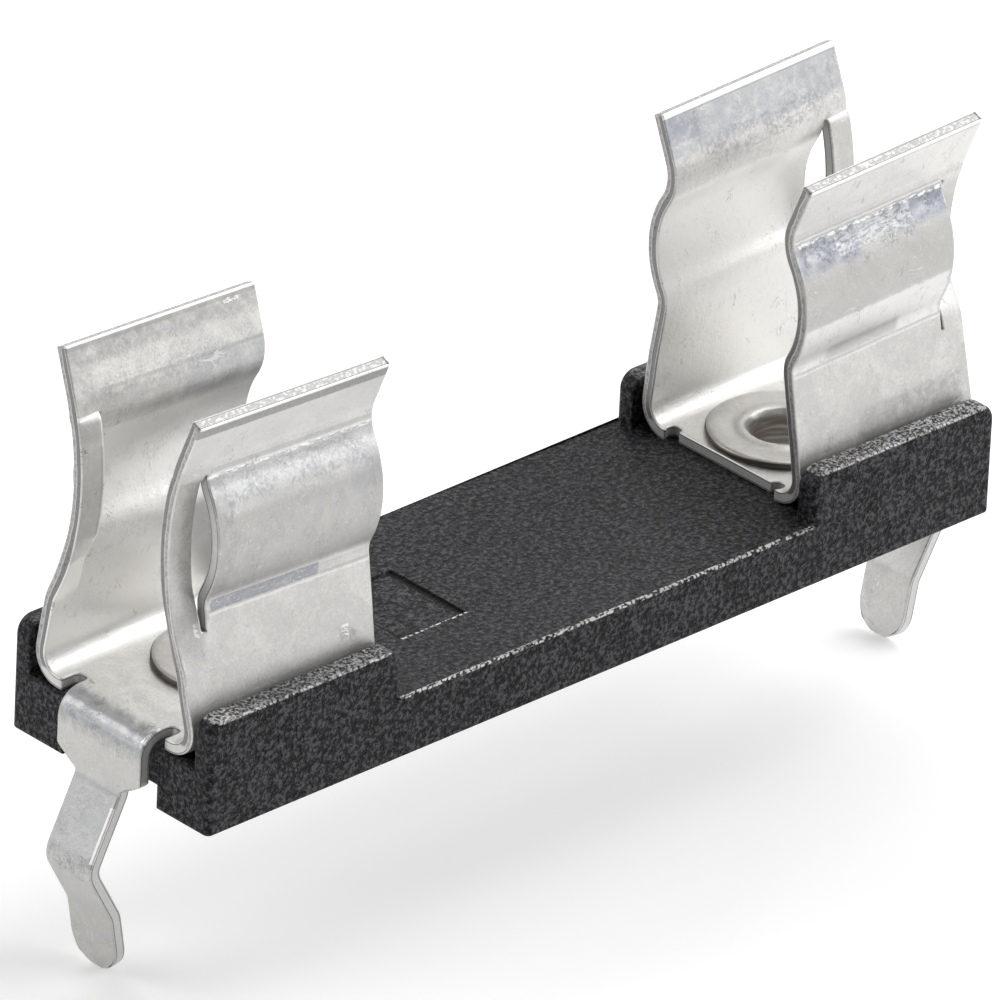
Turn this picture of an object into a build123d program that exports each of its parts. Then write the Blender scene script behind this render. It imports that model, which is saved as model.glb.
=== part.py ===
from build123d import *
from math import acos, atan2, cos, degrees, hypot, radians, sin
import os

# A fuse holder for a circuit board: a moulded base carries two spring clips, one at each
# end, held by hollow rivets. A 5 x 20 mm cartridge fuse snaps down between the cheeks of
# both clips. Each clip runs on over the end of the base as a kinked leg that snaps into
# the board. X runs along the base, Y across it, Z up from the board. Sizes in millimetres.

# Clip sheet and its bends
sheet = 0.3             # thickness of the tinned strip
bend_radius = 0.3       # inside of the bend at the terminal and of each kink in the leg
foot_radius = 0.42      # inside of the bend between clip floor and cheek

# Fuse seat of an empty clip: a 5.2 mm fuse cap spreads it
seat_radius = 2.18      # inside of each cheek, about the fuse axis
seat_height = 4.82      # fuse axis above the top of the base
throat_bite = 0.5       # how far the upper neck stands in from the seat's radius
throat_radius = 1.2     # inside face of the upper neck
lead_angle = 21.5       # lean of the lead-in above the upper neck
lead_height = 1.5       # top of the cheek above the upper neck
heel_bite = 0.36        # how far the lower neck stands in from the seat's radius
heel_radius = 0.9       # inside face of the lower neck
heel_angle = 9.5        # lean of the cheek below the lower neck

# End stops: a strip at the outer end of each cheek is slit along the seat and curves inward
fuse_length = 20.0
fuse_play = 1.05        # from the fuse to the stop, at each end
stop_width = 0.65       # width of the strip
stop_bite = 0.34        # how far the strip stands in from the upper neck
stop_blend = 1.0        # radius where the strip runs back into the cheek
slit = 0.05
slit_drop = 0.53        # the slit starts this far below the lead-in
slit_lift = 1.0         # and ends this far above the foot of the strip's curve

# Clip length and its floor
clip_length = 5.34
floor_setback = 0.17    # the floor ends this far inside the cheeks, at the inner end
relief_width = 0.34     # notches beside the terminal and at the inner end of the bends
relief_depth = 0.36

# Terminal and leg
terminal_width = 2.66
leg_width = 1.44
shoulder_height = 0.15  # where the leg starts, above the board
shoulder_angle = 32.0   # slope of the shoulders
board_thickness = 1.6
kink_height = 0.1       # first kink, above the board
crest_drop = 0.05       # crest of the leg below the board's far side
crest_reach = 0.85      # how far the crest stands out from the terminal
knee_drop = 1.35        # from crest to knee
knee_return = 0.75
tip_drop = 1.5          # from knee to tip
tip_return = 0.27

# Base
base_floor = 1.5        # thickness under the clips and between them
wall_rise = 1.25        # side walls above the floor
wall = 0.52             # thickness of the side walls
side_clearance = 0.1    # between cheek and side wall
end_margin = 0.05       # the clip's end lies this far inside the end of the base
wall_overhang = 0.17    # the side walls reach this far past the clip's inner end
wall_round = 0.42       # rounding at both ends of a wall's top
corner_round = 0.15     # upright corners of the base
leg_clearance = 0.05    # between the end of the base and the terminal
notch_depth = 0.7       # notch in the end of the base, behind the terminal
notch_side = 0.17       # notch beyond the terminal, on each side
panel_length = 1.9      # plain sunk panel in the top face, beside the left clip
panel_width = 2.4
panel_depth = 0.06
panel_offset = 1.85     # from the end of the side wall to the panel

# Hollow rivets
rivet_bore = 0.75       # radius of the hole through the rivet
rivet_skin = 0.3        # thickness of its barrel
rivet_clearance = 0.05  # between barrel and the holes it passes through
flange_clearance = 0.08  # flange edge from the foot bends
flange_thickness = 0.2
lip_round = 0.3         # rounding of the bore into the flange and into the rolled rim
rim_radius = 1.6        # rolled rim under the base
rim_thickness = 0.3
rim_cover = 0.1         # the rim stays this far above the board
rim_clearance = 0.2     # around the rim in its recess
rivet_margin = 0.02     # flange edge from the end of the clip floor

# Places along X that follow from these
stop_face = fuse_length / 2 + fuse_play
clip_end = stop_face + stop_width
clip_start = clip_end - clip_length
base_end = clip_end + end_margin
wall_start = clip_start - wall_overhang
terminal_face = base_end + leg_clearance + sheet


def polar(centre, radius, angle):
    a = radians(angle)
    return (centre[0] + radius * cos(a), centre[1] + radius * sin(a))


def angle_to(start, end):
    return degrees(atan2(end[1] - start[1], end[0] - start[0]))


# Bent sheet. A section is one face of the sheet, the near face, walked from start to end
# with the metal on the right. A bend is (centre, near radius, first angle, last angle),
# and it turns left where its last angle is the larger one.

def corner_bend(before, corner, after, inside):
    """The bend that rounds a corner of the near face, with this inside radius."""
    heading = angle_to(before, corner)
    turn = (angle_to(corner, after) - heading + 180) % 360 - 180
    left = turn > 0
    near = inside if left else inside + sheet
    side = 90 if left else -90
    tangent = near * abs(sin(radians(turn / 2)) / cos(radians(turn / 2)))
    centre = polar(polar(corner, -tangent, heading), near, heading + side)
    return centre, near, heading - side, heading - side + turn


def near_or_far(start, bends, end, depth):
    """Edges of the sheet's near face, or of the face that lies at this depth in it."""
    edges = []
    here = start
    for centre, near, first, last in bends:
        radius = near + depth if last > first else near - depth
        there = polar(centre, radius, first)
        if hypot(there[0] - here[0], there[1] - here[1]) > 0.001:
            edges.append(Line(here, there))
        here = polar(centre, radius, last)
        edges.append(ThreePointArc(there, polar(centre, radius, (first + last) / 2), here))
    return edges + [Line(here, end)]


def sheet_section(start, heading, bends, end, last_heading):
    """Closed outline of the bent sheet, as a face in the XY plane."""
    far_start = polar(start, sheet, heading - 90)
    far_end = polar(end, sheet, last_heading - 90)
    outline = near_or_far(start, bends, end, 0) + near_or_far(far_start, bends, far_end, sheet)
    outline += [Line(start, far_start), Line(end, far_end)]
    return make_face(outline)


# Cheek section, in (Y, height above the base's top face)
throat_gap = seat_radius - throat_bite
heel_gap = seat_radius - heel_bite
stop_gap = throat_gap - stop_bite
seat = (0, seat_height)


def neck_above_or_below(gap, radius, direction):
    """Centre of the neck that touches the seat's arc and leaves this half gap."""
    across = gap + radius
    return (across, seat_height + direction * ((seat_radius + radius) ** 2 - across ** 2) ** 0.5)


throat = neck_above_or_below(throat_gap, throat_radius, 1)
heel = neck_above_or_below(heel_gap, heel_radius, -1)
cheek_top = throat[1] + lead_height
lead_foot = polar(throat, throat_radius, 180 - lead_angle)
heel_foot = polar(heel, heel_radius, 180 + heel_angle)
lead_run = (cheek_top - lead_foot[1]) / cos(radians(lead_angle))
lead_heading = 90 - lead_angle
top_point = polar(lead_foot, lead_run, lead_heading)

# Foot bend: tangent to the clip floor and to the cheek's lower part
heel_heading = 90 + heel_angle
foot_run = (heel_foot[1] - sheet) / cos(radians(heel_angle))
foot_corner = polar(heel_foot, -foot_run, heel_heading)
foot = corner_bend((0, sheet), foot_corner, heel_foot, foot_radius)
foot_out = foot[0][0] + foot[1] + sheet

# The rivet's flange lies on the flat of the floor, up to its inner end
flange_radius = foot[0][0] - flange_clearance
rivet_x = clip_start + floor_setback + rivet_margin + flange_radius

# Stop strip: one large arc from the lead-in, and a small one back into the lower part
stop_radius = throat_radius + stop_bite / (1 - cos(radians(lead_angle)))
stop = polar(lead_foot, -stop_radius, 180 - lead_angle)
heel_normal = (cos(radians(heel_angle)), sin(radians(heel_angle)))
stop_offset = (stop[0] - heel_foot[0]) * heel_normal[0] + (stop[1] - heel_foot[1]) * heel_normal[1]
stop_swing = heel_angle + degrees(acos((stop_blend + stop_offset) / (stop_radius + stop_blend)))
blend = polar(stop, -(stop_radius + stop_blend), stop_swing)
strip_foot = polar(blend, stop_blend, heel_angle)


def cheek_section(bends):
    return Plane.YZ * sheet_section((0, sheet), 0, bends, top_point, lead_heading)


def cheek_over_seat():
    to_heel = angle_to(seat, heel)
    to_throat = angle_to(seat, throat)
    return cheek_section([
        foot,
        (heel, heel_radius, 180 + heel_angle, 180 + to_heel),
        (seat, seat_radius, to_heel, to_throat),
        (throat, throat_radius, 180 + to_throat, 180 - lead_angle),
    ])


def cheek_over_stop():
    return cheek_section([
        foot,
        (blend, stop_blend, heel_angle, stop_swing),
        (stop, stop_radius, 180 + stop_swing, 180 - lead_angle),
    ])


def both_sides(half):
    return half + mirror(half, Plane.XZ)


def block(x_low, x_high, y_half, z_low, z_high):
    """A box on both sides of the XZ plane, between these places."""
    corner = Pos((x_low + x_high) / 2, 0, z_low)
    size = (x_high - x_low, 2 * y_half, z_high - z_low)
    return corner * Box(*size, align=(Align.CENTER, Align.CENTER, Align.MIN))


def upright(x, y, radius, z_low, z_high):
    return Pos(x, y, z_low) * Cylinder(
        radius, z_high - z_low, align=(Align.CENTER, Align.CENTER, Align.MIN)
    )


# Spring clip, in its place at the right end, with its underside at Z = 0
shoulder_x = terminal_face + crest_reach + 1
kink_z = kink_height - base_floor
crest_z = -board_thickness - crest_drop - base_floor
knee_z = crest_z - knee_drop
tip_z = knee_z - tip_drop
tip_x = terminal_face + crest_reach - knee_return - tip_return
shoulder_z = shoulder_height - base_floor
shoulder_rise = (terminal_width - leg_width) / 2 * sin(radians(shoulder_angle)) / cos(
    radians(shoulder_angle)
)


def terminal():
    """The floor's tongue: over the end of the base, down, and on as the kinked leg."""
    corners = [
        (stop_face, sheet),
        (terminal_face, sheet),
        (terminal_face, kink_z),
        (terminal_face + crest_reach, crest_z),
        (terminal_face + crest_reach - knee_return, knee_z),
        (tip_x, tip_z),
    ]
    bends = [corner_bend(*corners[i:i + 3], bend_radius) for i in range(4)]
    last_heading = angle_to(corners[-2], corners[-1])
    section = sheet_section(corners[0], 0, bends, corners[-1], last_heading)
    strip = extrude(Plane.XZ * section, terminal_width / 2, both=True)
    wide = terminal_width / 2
    narrow = leg_width / 2
    tip_centre = tip_z + narrow
    front = Plane.YZ * make_face([
        Line((-wide, 1), (wide, 1)),
        Line((wide, 1), (wide, shoulder_z + shoulder_rise)),
        Line((wide, shoulder_z + shoulder_rise), (narrow, shoulder_z)),
        Line((narrow, shoulder_z), (narrow, tip_centre)),
        ThreePointArc((narrow, tip_centre), (0, tip_z), (-narrow, tip_centre)),
        Line((-narrow, tip_centre), (-narrow, shoulder_z)),
        Line((-narrow, shoulder_z), (-wide, shoulder_z + shoulder_rise)),
        Line((-wide, shoulder_z + shoulder_rise), (-wide, 1)),
    ])
    return strip & extrude(front, shoulder_x)


def spring_clip():
    seat_part = Pos(clip_start, 0, 0) * extrude(cheek_over_seat(), stop_face - clip_start)
    stop_part = Pos(stop_face, 0, 0) * extrude(cheek_over_stop(), clip_end - stop_face)
    clip = both_sides(seat_part + stop_part)
    slit_low, slit_high = strip_foot[1] + slit_lift, lead_foot[1] - slit_drop
    clip -= block(stop_face - slit, stop_face, foot_out + 1, slit_low, slit_high)

    # Outer end of the floor: the tongue between two notches
    notch_x = clip_end - relief_depth
    notch_y = (terminal_width + relief_width) / 2
    clip -= block(notch_x, clip_end + 1, notch_y + relief_width / 2, -1, 2 * sheet)
    for y in (-notch_y, notch_y):
        clip -= upright(notch_x, y, relief_width / 2, -1, 2 * sheet)
    clip += terminal()

    # Inner end of the floor: set back between two small notches
    setback_x = clip_start + floor_setback
    setback_y = foot[0][0] - relief_width / 2
    clip -= block(clip_start - 1, setback_x, setback_y, -1, sheet + 0.01)
    for y in (-setback_y, setback_y):
        clip -= upright(setback_x, y, relief_width / 2, -1, sheet + 0.01)

    clip -= upright(rivet_x, 0, rivet_bore + rivet_skin + rivet_clearance, -1, 2 * sheet)
    return Pos(0, 0, base_floor) * clip


# Hollow rivet: flange on the clip floor, rolled rim in the underside of the base
rim_recess = rim_cover + rim_thickness


def hollow_rivet():
    barrel = rivet_bore + rivet_skin
    top = base_floor + sheet + flange_thickness
    shape = upright(rivet_x, 0, barrel, rim_cover, top)
    shape += upright(rivet_x, 0, flange_radius, top - flange_thickness, top)
    shape += upright(rivet_x, 0, rim_radius, rim_cover, rim_recess)
    shape -= upright(rivet_x, 0, rivet_bore, 0, top + 1)
    mouths = shape.edges().filter_by(GeomType.CIRCLE).filter_by(
        lambda e: abs(e.radius - rivet_bore) < 0.001
    )
    return fillet(mouths, lip_round)


# Moulded base
half_width = foot_out + side_clearance + wall


def side_wall():
    """One side wall, at the right end on the far side."""
    length = base_end - wall_start
    low = Align.MIN
    bar = Pos(wall_start, half_width - wall, 0) * Box(
        length, wall, base_floor + wall_rise, align=(low, low, low)
    )
    top_ends = bar.edges().filter_by(Axis.Y).group_by(Axis.Z)[-1]
    return fillet(top_ends, wall_round)


def moulded_base():
    base = block(-base_end, base_end, half_width, 0, base_floor)
    notch_y = terminal_width / 2 + notch_side
    wall_pair = both_sides(side_wall())
    for turn in (0, 180):
        base += Rot(0, 0, turn) * wall_pair
    base = fillet(base.edges().filter_by(Axis.Z).filter_by(
        lambda e: abs(e.center().X) > base_end - 0.01 and abs(e.center().Y) > half_width - 0.01
    ), corner_round)
    hole = rivet_bore + rivet_skin + rivet_clearance
    recess = rim_radius + rim_clearance
    cut = block(base_end - notch_depth, base_end + 1, notch_y, -1, base_floor + 1)
    cut += upright(rivet_x, 0, hole, -1, base_floor + 1)
    cut += upright(rivet_x, 0, recess, -1, rim_recess)
    for turn in (0, 180):
        base -= Rot(0, 0, turn) * cut
    panel_x = panel_offset - wall_start
    base -= block(panel_x, panel_x + panel_length, panel_width / 2,
                  base_floor - panel_depth, base_floor + 1)
    return base


right_clip = spring_clip()
right_rivet = hollow_rivet()
nodes = {
    "base": moulded_base(),
    "right_clip": right_clip,
    "left_clip": Rot(0, 0, 180) * right_clip,
    "right_rivet": right_rivet,
    "left_rivet": Rot(0, 0, 180) * right_rivet,
}

os.makedirs("parts", exist_ok=True)
for name, solid in nodes.items():
    export_step(solid, f"parts/{name}.step")
    print(name, solid.bounding_box(), round(solid.volume, 3))
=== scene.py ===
import bmesh
import bpy
import numpy as np
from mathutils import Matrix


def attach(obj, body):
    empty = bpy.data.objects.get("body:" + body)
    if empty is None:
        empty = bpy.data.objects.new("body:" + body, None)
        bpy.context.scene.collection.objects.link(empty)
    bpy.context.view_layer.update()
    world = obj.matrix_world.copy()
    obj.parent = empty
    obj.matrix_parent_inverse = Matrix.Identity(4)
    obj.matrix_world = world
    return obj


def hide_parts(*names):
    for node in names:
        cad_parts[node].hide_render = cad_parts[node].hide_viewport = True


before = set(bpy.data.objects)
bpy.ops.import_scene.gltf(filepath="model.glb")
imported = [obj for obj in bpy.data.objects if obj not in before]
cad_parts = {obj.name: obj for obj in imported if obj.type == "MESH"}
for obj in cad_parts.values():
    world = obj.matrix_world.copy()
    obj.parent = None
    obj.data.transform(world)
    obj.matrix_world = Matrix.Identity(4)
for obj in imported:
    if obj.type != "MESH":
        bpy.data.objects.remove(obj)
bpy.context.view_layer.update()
print("frame loaded:", sorted(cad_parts))

# A fuse holder for a circuit board. Shapes are worked out in millimetres, in the frame's own
# axes, and become metres when their mesh is made.
mm = 0.001

# Camera, as it stood for the photograph. Degrees and millimetres
viewpoint = {
    "azimuth": -44.343,
    "elevation": 28.479,
    "roll": 2.766,
    "distance": 400.0,
    "target": (0.0, 0.0, 4.0),
    "aside": -0.314,        # the camera's own offset from the target, to the right and up
    "above": -0.937,
    "frameWidth": 21.857,   # what the picture takes in, at the target
    "clips": (0.01, 5.0),   # metres
}


def wayTo(azimuth, elevation):      # the direction at these angles, in degrees
    a, e = np.radians([azimuth, elevation])
    return np.array([np.sin(a) * np.cos(e), -np.cos(a) * np.cos(e), np.sin(e)])


def stand(name, data, right, back, place):
    # a camera or lamp at this place in metres, looking away from back
    pose = np.eye(4)
    pose[:3] = np.column_stack([right, np.cross(back, right), back, place])
    held = bpy.data.objects.new(name, data)
    held.matrix_world = pose.T.tolist()
    bpy.context.scene.collection.objects.link(held)
    return held


def placeCamera(view):
    # back is the way from the target to the camera; right and up are turned about it by the roll
    azimuth, roll = np.radians([view["azimuth"], view["roll"]])
    back = wayTo(view["azimuth"], view["elevation"])
    level = np.array([np.cos(azimuth), np.sin(azimuth), 0.0])
    right = np.cos(roll) * level + np.sin(roll) * np.cross(back, level)
    place = np.array(view["target"]) + view["aside"] * right
    place += view["above"] * np.cross(back, right) + view["distance"] * back
    lens = bpy.data.cameras.new("camera")
    lens.sensor_width = 36.0
    lens.lens = lens.sensor_width * view["distance"] / view["frameWidth"]
    lens.clip_start, lens.clip_end = view["clips"]
    bpy.context.scene.camera = stand("camera", lens, right, back, place * mm)


# Shader maths. A wire is a socket in a node tree, and Python's operators on it add Math nodes.
# Noises are written as (times per mm, detail, roughness, distortion)
class Wire:
    sides = "3D"        # what noise and cells are worked out in; a flat blank needs only "2D"
    seedStep = 17.3     # how far apart the seeds' places are

    def __init__(self, tree, socket=None):
        self.tree, self.socket = tree, socket

    def node(self, kind, settings=None, sockets=None, out=0):
        made = self.tree.nodes.new("ShaderNode" + kind)
        for name, value in (settings or {}).items():
            setattr(made, name, value)
        for name, value in (sockets or {}).items():
            if isinstance(value, Wire):
                self.tree.links.new(made.inputs[name], value.socket)
            else:
                made.inputs[name].default_value = value
        return Wire(self.tree, made.outputs[out] if len(made.outputs) else None)

    def math(self, operation, *values):
        return self.node("Math", {"operation": operation}, dict(enumerate(values)))

    def __add__(self, other):
        return self.math("ADD", self, other)

    def __sub__(self, other):
        return self.math("SUBTRACT", self, other)

    def __rsub__(self, other):
        return self.math("SUBTRACT", other, self)

    def __mul__(self, other):
        return self.math("MULTIPLY", self, other)

    def __abs__(self):
        return self.math("ABSOLUTE", self)

    __radd__, __rmul__ = __add__, __mul__

    def either(self, other):
        return self.math("MAXIMUM", self, other)

    def ease(self, low, high):      # 0 at low, 1 at high and smooth between; low may be the larger
        return self.node("MapRange", {"interpolation_type": "SMOOTHSTEP"},
                         {"Value": self, "From Min": low, "From Max": high})

    def band(self, centre, half, soft):     # 1 within half of the centre, 0 beyond half + soft
        return abs(self - centre).ease(half + soft, half)

    def span(self, low, high, soft):
        return self.band((low + high) / 2, (high - low) / 2, soft)

    def stretch(self, x, y, z=1.0, move=0.0):
        made = self.node("Mapping", None, {
            "Vector": self, "Scale": (x, y, z), "Location": (move, move * 0.6, move * 0.3)})
        made.sides = self.sides
        return made

    def noise(self, perMm, detail=2.0, rough=0.5, bend=0.0, seed=0.0):
        # each seed looks at another place of the same endless noise
        moved = self.stretch(1, 1, 1, seed * self.seedStep)
        return moved.node("TexNoise", {"noise_dimensions": self.sides},
                          {"Vector": moved, "Scale": perMm, "Detail": detail,
                           "Roughness": rough, "Distortion": bend})

    def cells(self, perMm):
        return self.node("TexVoronoi", {"voronoi_dimensions": self.sides},
                         {"Vector": self, "Scale": perMm})

    def tint(self, below, above):       # this wire is the factor between two colours
        colours = {0: self}
        for index, colour in ((6, below), (7, above)):
            colours[index] = colour if isinstance(colour, Wire) else (*colour, 1.0)
        return self.node("Mix", {"data_type": "RGBA"}, colours, out=2)

    def part(self, index):
        return self.node("SeparateXYZ", None, {0: self}, out=index)


def newTree(name, owners=bpy.data.materials):
    owner = owners.new(name)
    owner.use_nodes = True
    owner.node_tree.nodes.clear()
    return owner, Wire(owner.node_tree)


def inMillimetres(start):       # Object coordinates, in millimetres
    place = start.node("TexCoord", out="Object")
    return start.node("VectorMath", {"operation": "SCALE"}, {0: place, "Scale": 1 / mm})


def coat(start, height, sockets):
    # the surface: a Principled shader, with bumps from a height in millimetres
    bump = start.node("Bump", None, {"Height": height, "Distance": mm, "Strength": 1.0})
    surface = start.node("BsdfPrincipled", None, {"Normal": bump, **sockets})
    start.node("OutputMaterial", None, {"Surface": surface})


# Meshes from arrays
def gridFaces(rows, columns, first=0, keep=None):
    # quads of a grid of rows x columns points; keep says which cells stay
    index = first + np.arange(rows * columns).reshape(rows, columns)
    quads = np.stack([index[:-1, :-1], index[1:, :-1], index[1:, 1:], index[:-1, 1:]], -1)
    return quads.reshape(-1, 4) if keep is None else quads[keep]


def makePiece(name, places, faces, node, normals=None, flat=None, depth=None):
    mesh = bpy.data.meshes.new(name)
    mesh.from_pydata((places * mm).tolist(), [], faces.tolist())
    mesh.polygons.foreach_set("use_smooth", np.ones(len(faces), bool))
    if flat is not None:        # where each point lies in the flat blank, in millimetres
        layer = mesh.uv_layers.new(name="flat")
        layer.data.foreach_set("uv", flat[faces.ravel()].astype(np.float32).ravel())
    if depth is not None:       # across the sheet: 1 at its inner face, -1 at its outer face
        mesh.attributes.new("depth", "FLOAT", "POINT").data.foreach_set("value", depth)
    if normals is not None:
        mesh.normals_split_custom_set_from_vertices(normals.tolist())
    return showPiece(name, mesh, node)


def welded(places, faces, *more):
    # points closer than a micron become one; faces that lose a corner go
    keys = np.round(places * 1000).astype(np.int64)
    kept, index = np.unique(keys, axis=0, return_index=True, return_inverse=True)[1:]
    faces = index.ravel()[faces]
    return places[kept], faces, *[other[kept] for other in more]


def unit(vectors):
    return vectors / np.maximum(np.linalg.norm(vectors, axis=-1, keepdims=True), 1e-12)


def thickened(places, faces, flat, depth, rounding, apart):
    # both faces and the rim of a sheet, from its middle. Each face lies half the sheet away along
    # the normal, and the rim closes them. Returns places, faces, each face's part of the sheet
    # (0 face, 1 rim), normals, flat places and the depth in the sheet
    corner = places[faces]
    facing = np.cross(corner[:, 2] - corner[:, 0], corner[:, 3] - corner[:, 1])
    normal = np.zeros_like(places)      # a point's normal is the mean of its faces' normals
    for i in range(4):
        np.add.at(normal, faces[:, i], facing)
    normal = unit(normal)

    # rim edges are those with a face on one side; inward is the normal crossed with the edge
    count = len(places)
    a, b = faces.ravel(), np.roll(faces, -1, axis=1).ravel()
    rim = ~np.isin(a * count + b, b * count + a)
    a, b = a[rim], b[rim]
    tangent = unit(places[b] - places[a])
    inward = np.zeros_like(places)
    np.add.at(inward, a, unit(np.cross(normal[a], tangent)))
    np.add.at(inward, b, unit(np.cross(normal[b], tangent)))
    inward = unit(inward)
    cosine = np.ones(count)
    np.minimum.at(cosine, a, (inward[a] * unit(np.cross(normal[a], tangent))).sum(1))
    sharpest = 0.6      # a mitre grows no longer than 1 / 0.6
    mitre = inward / np.clip(cosine, sharpest, 1)[:, None]

    # six rings round the rim: face, rounding, rim, rim, rounding, face. The rounding is a
    # quarter circle in two steps
    part = 1 - np.sqrt(0.5)
    inset = np.array([1, part, 0, 0, part, 1]) * rounding
    high = np.array([0, part, 1, 1, part, 0]) * -rounding + depth
    high *= [1, 1, 1, -1, -1, -1]
    lean = np.array([0, 1, 1, 1, 1, 0])
    tilt = np.array([1, 1, 0, 0, -1, -1])
    edge = np.unique(a)
    orderA, orderB = np.searchsorted(edge, a), np.searchsorted(edge, b)
    rings = places[edge] + inset[:, None, None] * mitre[edge] + high[:, None, None] * normal[edge]
    leans = unit(tilt[:, None, None] * normal[edge] - lean[:, None, None] * inward[edge])

    upper, lower = places + normal * depth, places - normal * depth
    upper[edge], lower[edge] = rings[0], rings[5]
    allPlaces = np.concatenate([upper, lower, *rings[1:5]])
    allNormals = np.concatenate([normal, -normal, *leans[1:5]])
    allFlat = np.concatenate([flat, flat + apart, flat[edge], flat[edge], flat[edge] + apart,
                              flat[edge] + apart])
    middle = 2 * count + np.arange(4)[:, None] * len(edge)
    ringA = np.stack([a, *(middle + orderA), a + count])
    ringB = np.stack([b, *(middle + orderB), b + count])
    sides = np.stack([ringB[:-1], ringA[:-1], ringA[1:], ringB[1:]], -1)
    allFaces = np.concatenate([faces, faces[:, ::-1] + count, sides.reshape(-1, 4)])
    share = np.zeros(len(allFaces), int)
    share[2 * len(faces) + 2 * len(a):2 * len(faces) + 3 * len(a)] = 1
    across = np.concatenate([np.ones(count), -np.ones(count),
                             np.repeat([1, 1, -1, -1], len(edge))])
    return allPlaces, allFaces, share, allNormals, allFlat, across


def showPiece(name, mesh, node):
    piece = bpy.data.objects.new(name, mesh)
    bpy.context.scene.collection.objects.link(piece)
    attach(piece, "root")
    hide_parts(node)
    return piece


# Bent sheet. A section is the near face of the sheet, walked with the metal on its right. A
# bend is (centre, near radius, first angle, last angle); it turns left where the angle grows
bendSteps = 60      # points along each bend


def spot(centre, radius, degrees):      # centre + radius * (cos, sin)
    turn = np.radians(degrees)
    return np.array([centre[0] + radius * np.cos(turn), centre[1] + radius * np.sin(turn)])


def headingTo(start, end):      # in degrees
    return np.degrees(np.arctan2(end[1] - start[1], end[0] - start[0]))


def cornerBend(before, corner, after, inside, sheet):
    # the bend that rounds a corner: its circle touches both lines at radius * tan(half the turn)
    heading = headingTo(before, corner)
    turn = (headingTo(corner, after) - heading + 180) % 360 - 180
    near = inside if turn > 0 else inside + sheet
    side = 90 if turn > 0 else -90
    tangent = near * abs(np.tan(np.radians(turn / 2)))
    centre = spot(spot(corner, -tangent, heading), near, heading + side)
    return centre, near, heading - side, heading - side + turn


def bentPath(start, bends, end, depth):
    # points along the sheet at this depth, and how far along it each one lies; the straight
    # stretches are the lines from one bend to the next
    points = [np.array([start])]
    for centre, near, first, last in bends:
        radius = near + depth * np.sign(last - first)
        turn = np.radians(np.linspace(first, last, bendSteps))
        points.append(centre + radius * np.stack([np.cos(turn), np.sin(turn)], 1))
    points = np.concatenate(points + [np.array([end])])
    run = np.concatenate([[0], np.cumsum(np.linalg.norm(np.diff(points, axis=0), axis=1))])
    return points, run


def filled(knots, step):        # the knots, with even steps no longer than this between them
    knots = np.unique(np.round(knots, 4))
    counts = np.maximum(np.ceil(np.diff(knots) / step - 1e-6), 1).astype(int)
    pieces = [np.linspace(a, b, n, endpoint=False) for a, b, n in zip(knots, knots[1:], counts)]
    return np.concatenate(pieces + [knots[-1:]])


# Spring clip, in its place at the right end. Millimetres and degrees; heights are above the
# top of the base's floor
clipForm = {
    "floorLevel": 1.5,
    "sheet": 0.3,
    "bendRadius": 0.3,
    "footRadius": 0.42,
    "seatRadius": 2.18,
    "seatHeight": 4.82,
    "throatBite": 0.5,
    "throatRadius": 1.2,
    "leadAngle": 21.5,
    "leadHeight": 1.5,
    "heelBite": 0.36,
    "heelRadius": 0.9,
    "heelAngle": 9.5,
    "stopBite": 0.34,
    "stopBlend": 1.0,
    "start": 6.36,
    "stopFace": 11.05,
    "end": 11.70,
    "slit": 0.05,
    "slitDrop": 0.53,
    "slitLift": 1.0,
    "setback": 0.17,
    "reliefWidth": 0.34,
    "reliefDepth": 0.36,
    "hole": (8.296, 1.1),
    "tongueWidth": 2.66,
    "legWidth": 1.44,
    "tongueFace": 12.10,
    "shoulder": -1.35,
    "shoulderAngle": 32.0,
    "kink": -1.4,
    "crest": -3.15,
    "crestReach": 0.85,
    "knee": -4.5,
    "kneeReturn": 0.75,
    "tip": -6.0,
    "tipReturn": 0.27,
    "edgeRound": 0.04,
    "cell": 0.085,
    "outerFace": 30.0,      # the outer face's flat places are moved on by this much
}


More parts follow.
